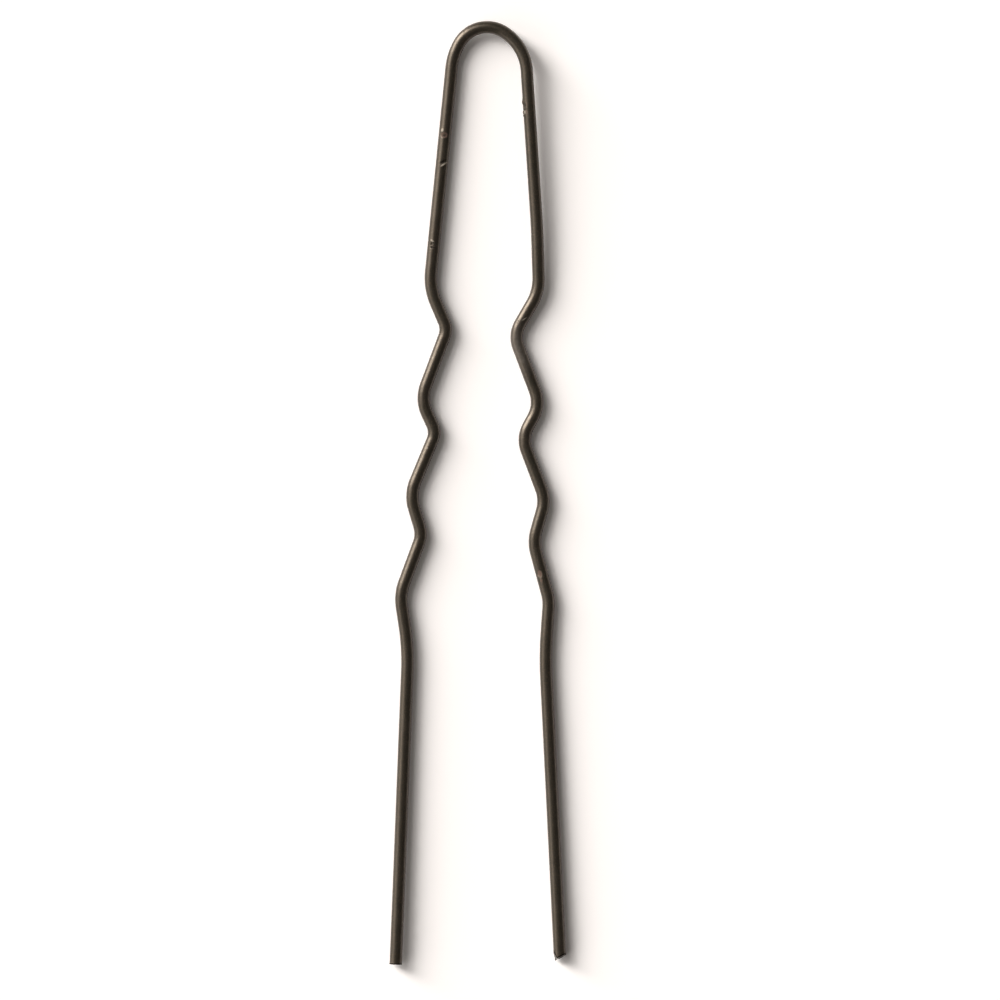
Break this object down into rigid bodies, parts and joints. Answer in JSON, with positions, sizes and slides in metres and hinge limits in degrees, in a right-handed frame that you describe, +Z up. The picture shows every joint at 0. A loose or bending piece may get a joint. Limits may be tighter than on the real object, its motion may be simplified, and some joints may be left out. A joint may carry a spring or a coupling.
{
  "type": "hairpin",
  "caption": "Crimped U-shaped hairpin of lacquered spring steel wire, with springy waved legs and straight cut tips.",
  "frame": {"origin": "on the surface the pin lies on, under the middle of its outline", "axes": "+Y along the pin towards the bow, +X across it towards the shorter leg, +Z up from the surface"},
  "size_m": [0.014, 0.075, 0.0015],
  "materials": {
    "steel": "drawn spring steel wire, bare only where it is cut or chipped",
    "lacquer": "satin dark brown lacquer, baked on"
  },
  "bodies": {
    "bow": {"bow_steel": "steel", "bow_lacquer": "lacquer"},
    "left_neck": {"left_neck_steel": "steel", "left_neck_lacquer": "lacquer"},
    "right_neck": {"right_neck_steel": "steel", "right_neck_lacquer": "lacquer"},
    "left_leg": {"left_shank_steel": "steel", "left_shank_lacquer": "lacquer", "left_crimps_steel": "steel", "left_crimps_lacquer": "lacquer", "left_point_steel": "steel", "left_point_lacquer": "lacquer"},
    "right_leg": {"right_shank_steel": "steel", "right_shank_lacquer": "lacquer", "right_crimps_steel": "steel", "right_crimps_lacquer": "lacquer", "right_point_steel": "steel", "right_point_lacquer": "lacquer"}
  },
  "joints": [
    {"name": "left_spread", "type": "hinge", "parent": "bow", "child": "left_neck", "pos_m": [-0.00217, 0.0331, 0.00049], "axis": [0, 0, -1], "range_deg": [-4.5, 10], "stiffness_Nm_per_rad": 0.19},
    {"name": "left_lift", "type": "hinge", "parent": "left_neck", "child": "left_leg", "pos_m": [-0.00237, 0.0311, 0.00049], "axis": [-0.995, 0.0998, 0], "range_deg": [0, 8], "stiffness_Nm_per_rad": 0.19},
    {"name": "right_spread", "type": "hinge", "parent": "bow", "child": "right_neck", "pos_m": [0.00391, 0.0331, 0.00104], "axis": [0, 0, 1], "range_deg": [-4.5, 10], "stiffness_Nm_per_rad": 0.19},
    {"name": "right_lift", "type": "hinge", "parent": "right_neck", "child": "right_leg", "pos_m": [0.00404, 0.0311, 0.001], "axis": [-0.9979, -0.0655, 0], "range_deg": [0, 8], "stiffness_Nm_per_rad": 0.19}
  ]
}
